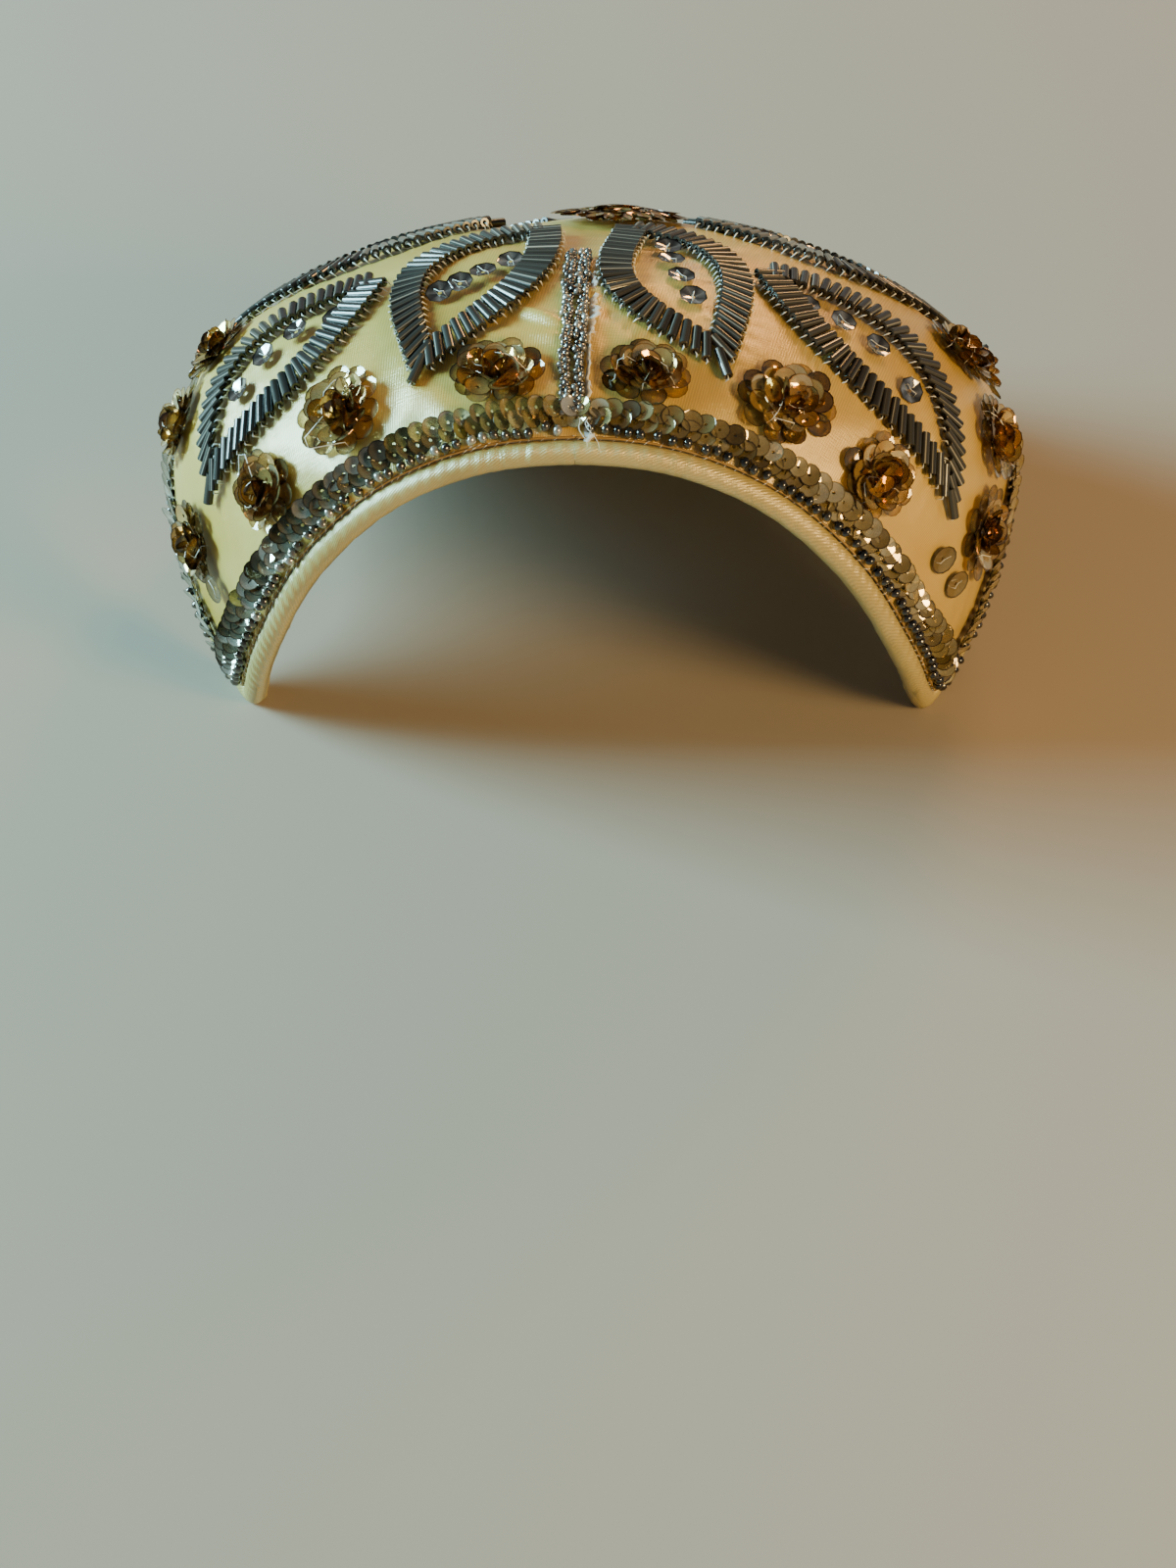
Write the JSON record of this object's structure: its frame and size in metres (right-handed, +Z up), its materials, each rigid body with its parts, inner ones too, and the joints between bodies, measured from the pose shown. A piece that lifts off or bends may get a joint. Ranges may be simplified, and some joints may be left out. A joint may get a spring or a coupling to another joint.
{
  "type": "half hat",
  "caption": "Stiff satin half hat that dips to a point at each side, with a rolled edge, bugle-bead petals, sequin flowers and a sequin border.",
  "frame": {"origin": "centre of the bounding box at the level of the surface that the hat rests on, leaning back on its two side points and the middle of its back edge", "axes": "+Z up, front of the hat towards -Y, the wearer's left side towards +X"},
  "size_m": [0.1718, 0.1334, 0.0883],
  "materials": {
    "satin": "cream duchesse satin with a fine twill, soft sheen",
    "satin_binding": "bias-cut cream satin, softly puckered",
    "bugle_beads": "opaque gunmetal grey glass tubes with pale blue highlights",
    "gold_sequins": "thin cup sequins, transparent bronze and olive gold with a metallic flash",
    "border_sequins": "overlapping cup sequins, olive gold with a metallic flash"
  },
  "bodies": {
    "root": {"crown_shell": "satin", "edge_binding": "satin_binding", "flower_back_left": "gold_sequins", "flower_back_right": "gold_sequins", "flower_behind_left": "gold_sequins", "flower_behind_right": "gold_sequins", "flower_brow_left": "gold_sequins", "flower_brow_right": "gold_sequins", "flower_cheek_left": "gold_sequins", "flower_cheek_right": "gold_sequins", "flower_ear_left": "gold_sequins", "flower_ear_right": "gold_sequins", "flower_front_left": "gold_sequins", "flower_front_right": "gold_sequins", "flower_nape_left": "gold_sequins", "flower_nape_right": "gold_sequins", "flower_rear_left": "gold_sequins", "flower_rear_right": "gold_sequins", "flower_side_left": "gold_sequins", "flower_side_right": "gold_sequins", "flower_temple_left": "gold_sequins", "flower_temple_right": "gold_sequins", "medallion": "gold_sequins", "petal_back_left": "bugle_beads", "petal_back_right": "bugle_beads", "petal_brow_left": "bugle_beads", "petal_brow_right": "bugle_beads", "petal_front_left": "bugle_beads", "petal_front_right": "bugle_beads", "petal_rear_left": "bugle_beads", "petal_rear_right": "bugle_beads", "petal_side_left": "bugle_beads", "petal_side_right": "bugle_beads", "sequin_border": "border_sequins"}
  },
  "joints": []
}
